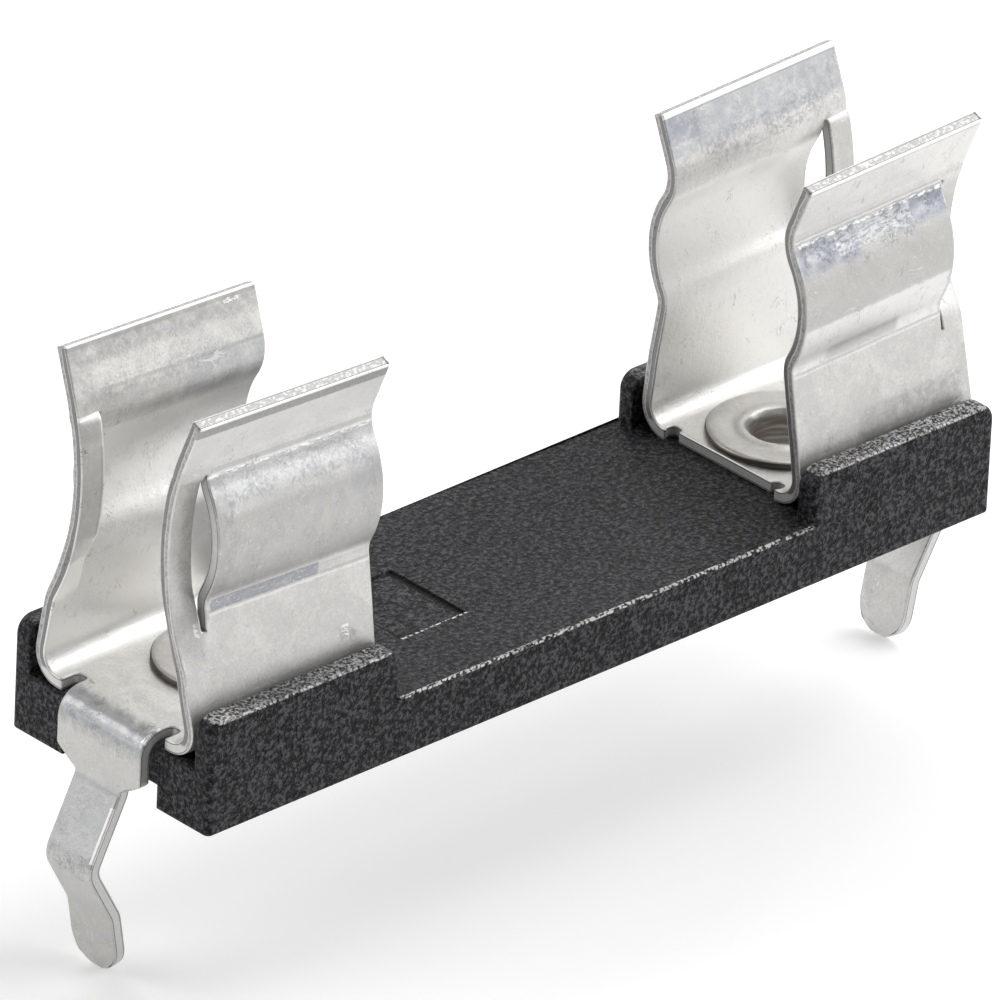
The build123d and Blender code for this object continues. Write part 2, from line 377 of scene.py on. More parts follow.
def clipSections(form):
    # the seat's section and the stop strip's section share the floor, the foot and the lead-in:
    # neck circles touch the seat's circle and stand in from it by their bite
    sheet, depth = form["sheet"], form["sheet"] / 2
    lead, lean = form["leadAngle"], form["heelAngle"]
    seat = np.array([0.0, form["seatHeight"]])

    def neck(bite, radius, direction):
        across = form["seatRadius"] - bite + radius
        rise = np.sqrt((form["seatRadius"] + radius) ** 2 - across ** 2)
        return np.array([across, form["seatHeight"] + direction * rise])

    throat = neck(form["throatBite"], form["throatRadius"], 1)
    heel = neck(form["heelBite"], form["heelRadius"], -1)
    slitTop = spot(throat, form["throatRadius"], 180 - lead)
    leadRun = (throat[1] + form["leadHeight"] - slitTop[1]) / np.cos(np.radians(lead))
    top = spot(slitTop, leadRun, 90 - lead)
    heelFoot = spot(heel, form["heelRadius"], 180 + lean)
    footRun = (heelFoot[1] - sheet) / np.cos(np.radians(lean))
    corner = spot(heelFoot, -footRun, 90 + lean)
    foot = cornerBend((0, sheet), corner, heelFoot, form["footRadius"], sheet)

    stopRadius = form["throatRadius"] + form["stopBite"] / (1 - np.cos(np.radians(lead)))
    stop = spot(slitTop, -stopRadius, 180 - lead)
    away = np.array([np.cos(np.radians(lean)), np.sin(np.radians(lean))])
    reach = form["stopBlend"] + (stop - heelFoot) @ away
    swing = lean + np.degrees(np.arccos(reach / (stopRadius + form["stopBlend"])))
    blend = spot(stop, -(stopRadius + form["stopBlend"]), swing)

    toHeel, toThroat = headingTo(seat, heel), headingTo(seat, throat)
    begin = (0, depth)
    end = spot(top, depth, -lead)
    overSeat = bentPath(begin, [
        foot,
        (heel, form["heelRadius"], 180 + lean, 180 + toHeel),
        (seat, form["seatRadius"], toHeel, toThroat),
        (throat, form["throatRadius"], 180 + toThroat, 180 - lead),
    ], end, depth)
    overStop = bentPath(begin, [
        foot,
        (blend, form["stopBlend"], lean, swing),
        (stop, stopRadius, 180 + swing, 180 - lead),
    ], end, depth)

    # how far along the sheet each bend starts and ends, and where the slit lies
    run = overSeat[1]
    starts = 1 + bendSteps * np.arange(4)       # where each of the four bends starts in the run
    ends = starts + bendSteps - 1
    rising = overSeat[0][ends[0]:, 1]
    stripFoot = spot(blend, form["stopBlend"], lean)[1] + form["slitLift"]
    slitTop = slitTop[1] - form["slitDrop"]
    return {
        "overSeat": overSeat,
        "overStop": overStop,
        "footStart": run[starts[0]],
        "footEnd": run[ends[0]],
        "slitLow": np.interp(stripFoot, rising, run[ends[0]:]),
        "slitHigh": np.interp(slitTop, rising, run[ends[0]:]),
        "heelStart": run[starts[1]],
        "heelEnd": run[ends[1]],
        "throatStart": run[starts[3]],
        "leadStart": run[ends[3]],
        "top": run[-1],
    }


def tongueSection(form):
    # the floor's end goes over the end of the base, down, and on as a leg with three kinks
    face, reach = form["tongueFace"], form["crestReach"]
    corners = [
        (form["stopFace"], form["sheet"]),
        (face, form["sheet"]),
        (face, form["kink"]),
        (face + reach, form["crest"]),
        (face + reach - form["kneeReturn"], form["knee"]),
        (face + reach - form["kneeReturn"] - form["tipReturn"], form["tip"]),
    ]
    bends = [cornerBend(*corners[i:i + 3], form["bendRadius"], form["sheet"]) for i in range(4)]
    depth = form["sheet"] / 2
    begin = (form["stopFace"], form["sheet"] - depth)
    end = spot(corners[-1], depth, headingTo(corners[-2], corners[-1]) - 90)
    return bentPath(begin, bends, end, depth)


def snapToRound(flat, edge, centre, radius, low, high):
    # edge points near a round cut-out, within low and high along the clip, move onto its circle
    away = flat - np.array(centre)
    far = np.linalg.norm(away, axis=-1)
    near = edge & (abs(far - radius) < 0.06) & (flat[..., 0] > low) & (flat[..., 0] < high)
    moved = centre + away * (radius / np.maximum(far, 1e-9))[..., None]
    return np.where(near[..., None], moved, flat)


def smooth(x):      # 0 below 0, 1 above 1, and 3 x^2 - 2 x^3 between
    x = np.clip(x, 0, 1)
    return x * x * (3 - 2 * x)


def clipPatches(form, ledges):
    # grids of the folded sheet's middle. A place in the flat blank is p along the clip and q
    # across it, and its folded place is p along X and the section's point at the run q.
    # Returns folded places, faces, flat places and the sections
    sections = clipSections(form)
    step = form["cell"]
    slitFace = form["stopFace"] - form["slit"]
    backFloor = form["start"] + form["setback"]
    notchX = form["end"] - form["reliefDepth"]
    notchR = form["reliefWidth"] / 2
    tongue = form["tongueWidth"] / 2
    notchY = tongue + notchR
    backY = sections["footStart"] - notchR
    places, flats, faces = [], [], []

    def add(place, flat, keep=None):
        rows, columns = flat.shape[:2]
        first = sum(len(p) for p in places)
        faces.append(gridFaces(rows, columns, first, keep))
        places.append(place.reshape(-1, 3))
        flats.append(flat.reshape(-1, 2))

    def fold(flat, share=0.0):
        # across the blank, q is the run along the seat's section, and y has the sign of q. The
        # share moves a point from the seat's section to the stop strip's at the same height
        q = abs(flat[..., 1])
        seat, run = sections["overSeat"]
        stop = sections["overStop"][0][bendSteps:]
        y, z = np.interp(q, run, seat[:, 0]), np.interp(q, run, seat[:, 1])
        inward = np.interp(z, stop[:, 1], stop[:, 0]) - y
        y = y + share * np.where(q > sections["footEnd"], inward, 0)
        return np.stack([flat[..., 0], y * np.sign(flat[..., 1]), z], -1)

    def stripShare(flat, ledge):
        # the strip stands in over the slit's height. Past the slit's ends the sheet twists:
        # at the outer end and beside the slit it keeps a part of the strip's curve
        q = abs(flat[..., 1])
        away = np.clip((flat[..., 0] - form["stopFace"]) / (form["end"] - form["stopFace"]), 0, 1)
        beside, outer, under = ledge
        above = smooth(away / 0.2) * (beside + (outer - beside) * away)
        below = under * away ** 0.7
        kept = np.where(q > (sections["slitLow"] + sections["slitHigh"]) / 2, above, below)
        free = smooth((sections["slitHigh"] - q) / 0.12) * smooth((q - sections["slitLow"]) / 1.0)
        return kept + (1 - kept) * free

    def blank(p, q):
        return np.stack(np.meshgrid(p, q, indexing="ij"), -1)

    # Floor and feet: all cut-outs lie in the flat of the floor
    along = filled([form["start"], backFloor, backFloor + notchR, notchX - notchR, notchX,
                    slitFace, form["stopFace"], form["end"]], step)
    half = filled([0, tongue, notchY, notchY + notchR, sections["footStart"]], step)
    feet = filled([sections["footStart"], sections["footEnd"]], step)
    half = np.concatenate([half, feet[1:]])
    across = np.concatenate([-half[:0:-1], half])
    flat = blank(along, across)
    middle = (flat[1:, 1:] + flat[:-1, :-1]) / 2
    p, q = middle[..., 0], abs(middle[..., 1])
    hole = np.hypot(p - form["hole"][0], q) < form["hole"][1]
    nearBack = np.hypot(p - backFloor, q - backY) < notchR
    nearFront = np.hypot(p - notchX, q - notchY) < notchR
    back = (p < backFloor) & (q < backY) | nearBack
    front = (p > notchX) & (q < notchY + notchR) | nearFront
    keep = ~(hole | back | front)
    padded = np.pad(keep, 1)
    around = np.stack([padded[1:, 1:], padded[:-1, 1:], padded[1:, :-1], padded[:-1, :-1]])
    edge = around.any(0) & ~around.all(0)
    beyond, tiny = 20, 0.001
    flat = snapToRound(flat, edge, (form["hole"][0], 0.0), form["hole"][1], 0, beyond)
    for side in (-1, 1):
        backNotch, frontNotch = (backFloor, side * backY), (notchX, side * notchY)
        flat = snapToRound(flat, edge, backNotch, notchR, backFloor - notchR + 0.01, beyond)
        flat = snapToRound(flat, edge, frontNotch, notchR, 0, notchX + tiny)
    add(fold(flat), flat, keep)

    # Cheeks: whole below and above the slit, and as seat and stop strip beside it
    low, high = sections["slitLow"], sections["slitHigh"]
    lower = filled([sections["footEnd"], low], step)
    beside = filled([low, low + 0.1, low + 0.2, sections["heelStart"], sections["heelEnd"],
                     sections["throatStart"], high - 0.12, high - 0.08, high - 0.04, high], step)
    upper = filled([high, sections["leadStart"], sections["top"]], step)
    seatAlong = along[along < slitFace + tiny]
    stopAlong = along[along > form["stopFace"] - tiny]
    for side in (-1, 1):
        order = slice(None, None, side)
        for rise in (lower, upper):
            flat = blank(along, side * rise[order])
            add(fold(flat, stripShare(flat, ledges[side])), flat)
        flat = blank(seatAlong, side * beside[order])
        add(fold(flat), flat)
        flat = blank(stopAlong, side * beside[order])
        add(fold(flat, stripShare(flat, ledges[side])), flat)

    # Tongue: its columns are the floor's, drawn in where it narrows. The half-round tip takes
    # a rectangle of u and v to a half disc: u * sqrt(1 - v * v / 2), v * sqrt(1 - u * u / 2)
    points, run = tongueSection(form)
    narrow = form["legWidth"] / 2
    slope = np.tan(np.radians(form["shoulderAngle"]))
    heights = [form["shoulder"] + (tongue - narrow) * slope, form["shoulder"], form["tip"] + narrow]
    down = slice(bendSteps + 1, None)       # below the first bend the height only falls
    u = across[abs(across) < tongue + tiny] / tongue
    v = np.linspace(0, 1, 10)[1:, None]
    bends = np.arange(4)[:, None] * bendSteps + [1, bendSteps]      # each bend's start and end
    knots = [notchX - form["stopFace"], *run[bends.ravel()],
             *np.interp(-np.array(heights), -points[down, 1], run[down])]
    stations = filled(knots, step)[:, None] + 0 * u
    tipHeight = form["tip"] + narrow - narrow * v * np.sqrt(1 - u * u / 2)
    tipRun = np.interp(-tipHeight, -points[down, 1], run[down])
    # full width, sloped shoulders, then the leg's width
    fallen = np.interp(stations, run, points[:, 1])
    halfWidth = np.clip(narrow + (fallen - form["shoulder"]) / slope, narrow, tongue)
    y = np.concatenate([halfWidth * u, narrow * u * np.sqrt(1 - v * v / 2)])
    stations = np.concatenate([stations, tipRun])
    x, z = np.interp(stations, run, points[:, 0]), np.interp(stations, run, points[:, 1])
    add(np.stack([x, y, z], -1), np.stack([form["stopFace"] + stations, y], -1))
    places, flats = np.concatenate(places), np.concatenate(flats)
    places[:, 2] += form["floorLevel"]
    return *welded(places, np.concatenate(faces), flats), sections


# Above the slit the sheet twists into the strip. What share of the strip's curve it keeps beside
# the slit, and at the outer end; then what share it keeps at the outer end below the slit. Each
# for the cheek on one side, 1 or -1, of the clip's own middle
ledges = {
    "left_clip": {1: (0.0, 0.9, 1.0), -1: (0.0, 0.9, 1.0)},
    "right_clip": {1: (0.8, 0.0, 1.0), -1: (0.0, 0.95, 0.2)},
}

# How each real clip stands on its rivet, in degrees: turned about Z, pitched about Y, leaning
# about X, with a shift across in millimetres. The floor and the terminal stay; the cheeks take
# it all, and the front or back cheek leans on by itself, by so many millimetres at its top
clipSets = {
    "left_clip": {
        "turn": -2.07, "pitch": 0.96, "lean": -0.27, "shift": -0.04, "front": 0.0, "back": -0.13,
    },
    "right_clip": {
        "turn": 1.21, "pitch": -1.08, "lean": 0.25, "shift": 0.06, "front": 0.0, "back": 0.0,
    },
    "pivot": 8.13,          # the clips turn about this point along X
    "loose": (0.3, 2.2),    # heights over the base between which the turn takes hold
    "ownLean": (0.6, 7.5, 1.3),     # a cheek's own lean: from this height, over this far, power
}


def setCheeks(places, form, sets, pivot):
    # each point goes part of the way to where a rigid turn about the pivot takes it; the part
    # grows over the loose heights. Then the front and back cheeks lean on by themselves
    turns = np.radians([sets["lean"], sets["pitch"], sets["turn"]])
    rigid = np.eye(3)
    for axis, turn in enumerate(turns):     # about X, then Y, then Z
        a, b = (axis + 1) % 3, (axis + 2) % 3
        one = np.eye(3)
        one[a, a] = one[b, b] = np.cos(turn)
        one[a, b], one[b, a] = -np.sin(turn), np.sin(turn)
        rigid = one @ rigid
    pivot = np.array([pivot, 0, form["floorLevel"]])
    height = places[:, 2] - form["floorLevel"]
    turned = (places - pivot) @ rigid.T + pivot + [0, sets["shift"], 0]
    low, high = clipSets["loose"]
    moved = places + smooth((height - low) / (high - low))[:, None] * (turned - places)
    foot, over, power = clipSets["ownLean"]
    own = (np.clip(height - foot, 0, None) / over) ** power
    for side, name in ((1, "back"), (-1, "front")):
        moved[:, 1] += np.where(places[:, 1] * side > 0.9, own, 0) * sets[name]
    return moved


# Tin on spring strip. Colours are linear; places are in the flat blank, in millimetres. Each
# kind of mark has its colour, how soft its edges are and how far they wander
tinLook = {
    "pale": (0.80, 0.79, 0.765),
    "dull": (0.62, 0.61, 0.595),
    "scratch": (0.90, 0.90, 0.89),
    "hook": (0.36, 0.355, 0.35),
    "metallic": 0.6,
    "roughness": 0.42,
    "outerShade": 0.35,      # how much darker the outer faces are painted: a painted shade
    "noises": {
        "cloud": (0.7, 5, 0.6, 0.8),
        "mottle": (4.5, 4, 0.65, 0.5),
        "grain": (15, 2, 0.6, 0.3),
        "rolled": (1.5, 3, 0.6, 0.0),
        "scratch": (1.3, 1, 0.5, 1.6),
        "hook": (1.5, 2, 0.5, 2.0),
        "crack": (5.5, 4, 0.7, 0.7),
        "speckle": (9, 3, 0.65, 0.2),
        "blue": (2.6, 5, 0.75, 0.4),
        "bright": (6, 3, 0.7, 0.0),
        "wander": (3.2, 4, 0.65, 0.5),
    },
    "flecks": (5.5, 4.2),       # light and dark dots, per mm
    "marks": {
        # painted shade beside the slits, under the top edges and on the terminal's bend, and
        # smudges near the walls that are both dirt and painted shade
        "shade": ((0.42, 0.415, 0.41), 0.25, 0.5),
        # painted light: lifts the back cheeks' shaded insides and the lead-ins' outer faces
        "paintedLight": ((0.93, 0.92, 0.90), 0.25, 0.3),
        # painted light: lighter bands below the bulges' shade, and painted highlights along creases
        "light": ((0.90, 0.89, 0.88), 0.05, 0.15),
        # darker: painted shade on the bulges' lower halves, the terminal and the leg; also a grey
        # blotch and darker stop strips
        "dim": ((0.44, 0.435, 0.42), 0.2, 0.3),
        "band": ((0.36, 0.355, 0.345), 0.025, 0.08),
        "blue": ((0.34, 0.365, 0.42), 0.2, 0.4),
        "speckle": ((0.24, 0.25, 0.295), 0.12, 0.45),
        "flat": ((0.36, 0.365, 0.41), 0.03, 0.12),
        "crack": ((0.27, 0.28, 0.31), 0.22, 0.6),
        # dark lines: scratches, and painted shade along creases
        "dark": ((0.30, 0.29, 0.28), 0.03, 0.06),
        # painted highlights: glints, and highlights on creases and on the burr at the slit's foot;
        # also bright dashes
        "bright": ((1.0, 1.0, 1.0), 0.035, 0.12),
        # painted highlights along the rounded top edges, the stop strips' edges and the leg's edge
        "white": ((1.0, 1.0, 1.0), 0.02, 0.02),
    },
}


def tinMaterial(name, look, seed, marks):
    material, start = newTree(name)
    flat = start.node("UVMap", {"uv_map": "flat"})
    flat.sides = "2D"
    p, q = flat.part(0), flat.part(1)
    # duller clouds, finer mottling, and grain a few hundredths across
    noises = look["noises"]
    cloud = flat.noise(*noises["cloud"], seed)
    mottle = flat.noise(*noises["mottle"], seed + 3)
    grain = flat.noise(*noises["grain"], seed + 21)
    tone = cloud.ease(0.36, 0.66) * 0.5 + mottle.ease(0.38, 0.68) * 0.3 + (grain - 0.5) * 1.1
    # the outer faces are painted darker all over: a painted shade
    outer = p.ease(20.0, 25.0)
    colour = (tone + 0.25 - outer * look["outerShade"]).tint(look["dull"], look["pale"])
    # rolling lines run along the strip: noise stretched 14 times
    rolled = flat.stretch(0.5, 7).noise(*noises["rolled"], seed + 5)
    # bright scratches and dark hooks: thin lines where a warped, stretched noise passes one
    # half, in the few places where a coarse noise is high
    scratch = flat.stretch(0.55, 2.3).noise(*noises["scratch"], seed + 7)
    scratch = abs(scratch - 0.5).ease(0.012, 0.002)
    scratch = scratch * flat.noise(0.8, 1, seed=seed + 9).ease(0.55, 0.7)
    hook = flat.stretch(1.9, 0.7).noise(*noises["hook"], seed + 11)
    hook = abs(hook - 0.5).ease(0.022, 0.002)
    hook = hook * flat.noise(1.6, 1, seed=seed + 13).ease(0.58, 0.72)
    # what breaks up each kind of mark: blotches, worm-like cracks and dashes from noise
    crack = flat.stretch(1.2, 0.9).noise(*noises["crack"], seed + 17)
    crack = abs(crack - 0.5).ease(0.06, 0.01)
    speckle = flat.noise(*noises["speckle"], seed + 33).ease(0.45, 0.56)
    broken = {
        "shade": mottle.ease(0.2, 0.7),
        "paintedLight": mottle.ease(-0.4, 0.5),
        "light": mottle.ease(0.1, 0.5),
        "dim": mottle.ease(-0.1, 0.6),
        "band": grain.ease(0.15, 0.55) * 0.6 + 0.4,
        "blue": flat.noise(*noises["blue"], seed + 15).ease(0.12, 0.66),
        "speckle": speckle * flat.noise(1.9, seed=seed + 35).ease(0.36, 0.52),
        "flat": grain.ease(0.1, 0.5) * mottle.ease(0.1, 0.5),
        "crack": crack * flat.noise(1.7, seed=seed + 19).ease(0.44, 0.6),
        "dark": cloud.ease(0.2, 0.55),
        "bright": flat.stretch(0.8, 2).noise(*noises["bright"], seed + 23).ease(0.44, 0.54),
        "white": grain.ease(-0.2, 0.4),
    }
    wander = flat.noise(*noises["wander"], seed + 25) - 0.5
    zones = {}
    for kind, lowP, highP, lowQ, highQ, amount in marks:
        soft, far = look["marks"][kind][1:]
        along = (p + wander * far).span(lowP, highP, soft)
        across = (q + wander * (far * 0.5)).span(lowQ, highQ, soft)
        zones[kind] = (along * across * amount).either(zones.get(kind, 0.0))
    height = cloud * 0.012 + mottle * 0.006 + rolled * 0.002 + grain * 0.0022 - scratch * 0.003
    for kind in broken:
        if kind in zones:
            zones[kind] = zones[kind] * broken[kind]
            colour = zones[kind].tint(colour, look["marks"][kind][0])
    light, dark = look["flecks"]
    fleck = flat.cells(light).ease(0.09, 0.04) * flat.noise(1.1, seed=seed + 27).ease(0.54, 0.62)
    pit = flat.stretch(1, 1.4).cells(dark).ease(0.08, 0.035)
    pit = pit * flat.noise(1.3, seed=seed + 29).ease(0.5, 0.58)
    colour = (fleck * 0.7).either(scratch * 0.6).tint(colour, look["scratch"])
    colour = (pit * 0.5).either(hook * 0.6).tint(colour, look["hook"])
    if "bright" in zones:
        height = height + zones["bright"] * 0.01
    coat(start, height, {
        "Base Color": colour,
        "Metallic": look["metallic"],
        "Roughness": look["roughness"] + (cloud - 0.5) * 0.16 + (mottle - 0.5) * 0.14,
    })
    return material


# Sheared rim of the strip. On the cheeks' ends, from the inner face: a dark burnished band, a pale
# line and a torn band. On the top edges, in the slits and on the floor and tongue: light, with
# white dots and a dark line along each border; in the slits, which lie in shade, the light colour
# is painted light. The top edges, which face the lamps, are painted greyer: a painted shade
rimLook = {
    "dark": (0.22, 0.21, 0.21),
    "line": (0.62, 0.61, 0.60),
    "torn": ((0.28, 0.275, 0.27), (0.52, 0.51, 0.50)),
    "light": (0.66, 0.655, 0.64),
    # painted shade: the top edges' colour, greyer where the lamps light them most
    "top": (0.36, 0.355, 0.35),
    "dots": (0.72, 0.72, 0.71),
    "border": (0.19, 0.185, 0.18),
    "metallic": 0.5,
    "roughness": 0.42,
    "smear": (1.6, 3, 0.6, 0.3),
    "fine": (12, 3, 0.6, 0.0),
    "slit": (10.75, 11.3, 2.5, 3.0),    # where the slits' rims are: along the clip, and above
    "floor": (1.9, 1.8),                # where the floor's rims are: below
}


def rimMaterial(name, look, sections, seed):
    material, start = newTree(name)
    place = inMillimetres(start)
    across = start.node("Attribute", {"attribute_name": "depth"}, None, "Fac")
    high = abs(start.node("UVMap", {"uv_map": "flat"}).part(1))
    high = high.ease(sections["top"] - 0.06, sections["top"] - 0.02)
    far, up = abs(place.part(0)), place.part(2)
    inner, outer, low, above = look["slit"]
    slit = far.span(inner, outer, 0.02) * up.ease(low, above)
    # where the rims are light: the top edges, the slits, where it is painted light, and the floor's
    # and tongue's rims
    light = high.either(slit).either(up.ease(*look["floor"]))
    smear = place.noise(*look["smear"], seed)
    fine = place.noise(*look["fine"], seed + 2)
    border = (abs(across) + (fine - 0.5) * 0.2).ease(0.7, 0.9)
    across = across + (smear - 0.5) * 0.9 + (fine - 0.5) * 0.3
    burnished = across.ease(-0.1, 0.1) * (1 - light)
    torn = fine.ease(0.32, 0.68).tint(*look["torn"])
    colour = burnished.tint(torn, look["dark"])
    colour = (across.band(-0.16, 0.08, 0.1) * 0.8).tint(colour, look["line"])
    # the top edges take the greyer colour, a painted shade; the rest take the light one
    pale = fine.ease(0.44, 0.72).tint(high.tint(look["light"], look["top"]), look["dots"])
    colour = light.tint(colour, border.tint(pale, look["border"]))
    coat(start, fine * 0.01 - burnished * 0.006, {
        "Base Color": colour,
        "Metallic": look["metallic"],
        "Roughness": look["roughness"] - burnished * 0.12 + (fine - 0.5) * 0.2,
    })
    return material


def makeClip(node, form, look, side, seed, marks):
    # the right end's clip, or the same one turned half round, set on its rivet and given its
    # thickness
    places, faces, flats, sections = clipPatches(form, ledges[node])
    pivot = side * clipSets["pivot"]
    places = setCheeks(places * [side, side, 1], form, clipSets[node], pivot)
    places, faces, share, normals, flats, depth = thickened(
        places, faces, flats, form["sheet"] / 2, form["edgeRound"], (form["outerFace"], 0))
    piece = makePiece(node + "_strip", places, faces, node, normals, flats, depth)
    tin = tinMaterial(node + "_tin", look, seed, marks)
    for material in (tin, rimMaterial(node + "_rim", rimLook, sections, seed + 31)):
        piece.data.materials.append(material)
    piece.data.polygons.foreach_set("material_index", share)


# Marks as (kind, from, to along the clip, from, to across the blank, strength), in millimetres.
# Places along the clip past 30 are on the outer faces. On the left clip the front cheek lies
# where the place across is positive, on the right clip where it is negative
kinkMarks = [        # terminal and leg
    ("shade", 11.72, 12.15, -1.3, 1.3, 0.6),
    ("blue", 11.72, 12.05, -1.3, 1.3, 0.5),
    ("crack", 11.6, 12.1, -1.3, 1.3, 0.8),
    ("speckle", 15.0, 15.15, -0.7, 0.7, 0.6),
    ("crack", 14.95, 15.3, -0.66, 0.66, 0.8),
]
leftMarks = [
    # outer face of the front cheek
    # painted light on the lead-in
    ("paintedLight", 36.0, 42.0, 9.1, 10.0, 0.5),
    ("band", 36.0, 42.0, 10.03, 10.29, 0.9),
    ("white", 36.0, 42.0, 10.305, 10.5, 0.7),
    ("dim", 36.0, 40.9, 5.75, 7.5, 0.55),
    ("band", 36.4, 40.9, 8.70, 8.82, 0.4),
    ("light", 36.4, 40.9, 8.62, 8.68, 0.5),
    ("bright", 36.4, 41.0, 8.56, 8.61, 1.0),
    ("blue", 36.4, 40.9, 7.9, 8.5, 0.25),
    ("blue", 36.2, 37.1, 7.3, 8.5, 0.35),
    ("speckle", 36.6, 40.6, 7.9, 8.45, 0.35),
    ("crack", 36.6, 40.6, 6.2, 8.3, 0.3),
    ("shade", 40.7, 41.0, 6.0, 8.4, 0.7),
    ("shade", 41.05, 41.25, 5.2, 8.6, 0.6),
    ("light", 36.4, 40.9, 5.56, 5.75, 0.5),
    ("flat", 37.85, 40.85, 5.26, 5.57, 0.95),
    ("light", 36.4, 40.9, 5.17, 5.21, 0.7),
    ("dark", 36.4, 40.9, 5.21, 5.26, 0.4),
    ("bright", 41.12, 41.22, 4.72, 4.98, 1.0),
    ("shade", 36.4, 39.5, 2.7, 3.2, 0.5),
    ("crack", 37.0, 37.4, 3.5, 3.75, 0.6),
    ("bright", 37.1, 37.3, 3.6, 3.85, 0.9),
    # inner face of the back cheek
    # painted light over the back cheek's shaded inside
    ("paintedLight", 6.0, 12.0, -8.0, -2.0, 1.0),
    ("shade", 6.0, 12.0, -10.26, -9.9, 0.8),
    ("shade", 11.2, 11.9, -10.3, -9.0, 0.6),
    ("band", 6.0, 12.0, -10.26, -10.17, 0.5),
    ("white", 6.0, 12.0, -10.5, -10.285, 0.8),
    ("dark", 6.4, 11.0, -9.17, -9.12, 0.35),
    ("speckle", 7.5, 10.9, -9.3, -9.0, 0.25),
    ("crack", 6.6, 11.4, -10.1, -8.8, 0.3),
    ("bright", 6.9, 7.3, -10.14, -10.08, 0.9),
    ("bright", 10.2, 10.95, -8.35, -7.9, 0.35),
    ("crack", 11.3, 11.65, -8.4, -7.9, 0.9),
    ("white", 11.06, 11.72, -8.72, -8.62, 0.9),
    ("white", 11.04, 11.10, -8.6, -5.0, 0.9),
    ("dim", 11.2, 11.9, -8.5, -5.2, 0.5),
    ("dark", 11.12, 11.15, -7.9, -5.4, 0.35),
    ("blue", 6.4, 8.5, -9.1, -8.4, 0.4),
    ("crack", 8.0, 11.0, -7.2, -5.0, 0.2),
    # its own on the terminal and leg
    ("dark", 11.76, 11.80, -1.3, 1.3, 0.5),
    ("dark", 11.93, 11.97, -1.2, 1.0, 0.5),
    ("bright", 11.45, 11.9, 1.2, 1.34, 1.0),
    ("dim", 12.1, 20.0, -1.4, 1.4, 0.45),
    ("blue", 13.4, 15.0, -0.7, 0.7, 0.35),
    ("crack", 13.4, 15.0, -0.7, 0.7, 0.4),
    ("white", 13.7, 15.0, 0.63, 0.75, 0.8),
]
rightMarks = [
    # inner face of the back cheek
    ("white", 6.0, 12.0, 10.19, 10.5, 1.0),
    ("dark", 6.0, 12.0, 10.16, 10.19, 0.5),
    ("blue", 6.0, 11.6, 9.3, 10.17, 0.6),
    ("blue", 6.2, 7.3, 9.6, 10.1, 0.9),
    ("speckle", 7.4, 10.8, 8.95, 9.4, 0.4),
    ("crack", 6.6, 11.4, 8.85, 9.9, 0.35),
    ("dark", 7.23, 7.25, 9.15, 10.1, 0.4),
    ("dark", 11.34, 11.36, 9.3, 9.9, 0.35),
    ("white", 11.06, 11.75, 8.62, 8.72, 0.9),
    # painted light over the back cheek's shaded inside
    ("paintedLight", 6.0, 11.0, 2.0, 8.3, 0.9),
    ("dim", 11.1, 12.0, 5.5, 8.6, 0.5),
    # outer face of the front cheek
    # painted light on the lead-in
    ("paintedLight", 36.0, 42.0, -10.2, -9.1, 0.5),
    ("white", 36.0, 42.0, -10.5, -10.28, 0.8),
    ("band", 36.0, 42.0, -10.27, -10.23, 0.5),
    ("dim", 36.0, 41.8, -8.0, -6.95, 0.5),
    ("dim", 36.0, 40.9, -7.6, -6.75, 0.55),
    ("band", 36.4, 40.9, -8.80, -8.76, 0.4),
    ("light", 36.4, 40.9, -8.74, -8.69, 0.5),
    ("band", 36.4, 40.9, -8.69, -8.66, 0.4),
    ("bright", 36.5, 40.9, -8.62, -8.55, 1.0),
    ("blue", 36.5, 38.2, -8.55, -7.95, 0.9),
    ("blue", 38.1, 39.6, -8.55, -8.15, 0.6),
    ("blue", 39.5, 40.85, -8.55, -8.05, 1.0),
    ("speckle", 36.6, 38.0, -8.5, -7.95, 0.8),
    ("speckle", 38.0, 39.5, -8.5, -8.0, 0.4),
    ("speckle", 39.5, 40.9, -8.5, -8.1, 0.9),
    ("crack", 37.8, 39.9, -8.5, -7.8, 1.0),
    ("bright", 37.6, 39.9, -8.5, -8.0, 0.35),
    ("light", 36.4, 40.85, -6.6, -5.35, 0.75),
    ("dim", 37.5, 39.5, -5.75, -5.45, 0.65),
    ("light", 36.4, 41.0, -5.27, -5.24, 0.7),
    ("dark", 36.4, 41.0, -5.31, -5.27, 0.3),
    ("shade", 38.4, 41.3, -3.7, -3.1, 0.8),
]

# Hollow rivet
rivetForm = {
    "at": 8.296,
    "bore": 0.75,
    "flange": 1.746,
    "under": 1.8,           # underside of the flange
    "top": 2.0,
    "rim": 1.6,
    "rimLow": 0.1,
    "rimHigh": 0.4,
    "barrel": 1.05,
    "around": 160,          # points round it
    "waver": (3, 0.004, 7, 0.003),      # waves round the flange's edge, and their shares of it
    "lip": (2, 0.008, 5, 0.006),        # waves round the lip, and their heights
    "lipPhase": 1.3,
}
rivetLook = {
    "pale": (0.60, 0.59, 0.57),
    "dull": (0.46, 0.45, 0.43),
    "bore": (0.34, 0.305, 0.28),
    "streak": (0.62, 0.58, 0.54),
    # painted contact shadow under the flange's edge
    "edge": (0.10, 0.085, 0.07),
    "metallic": 0.7,
    "roughness": 0.36,
    "cloud": (1.4, 4, 0.6, 0.5),
    "fine": (11, 3, 0.6, 0.0),
    "streaks": (1.6, 3, 0.6, 0.0),
}


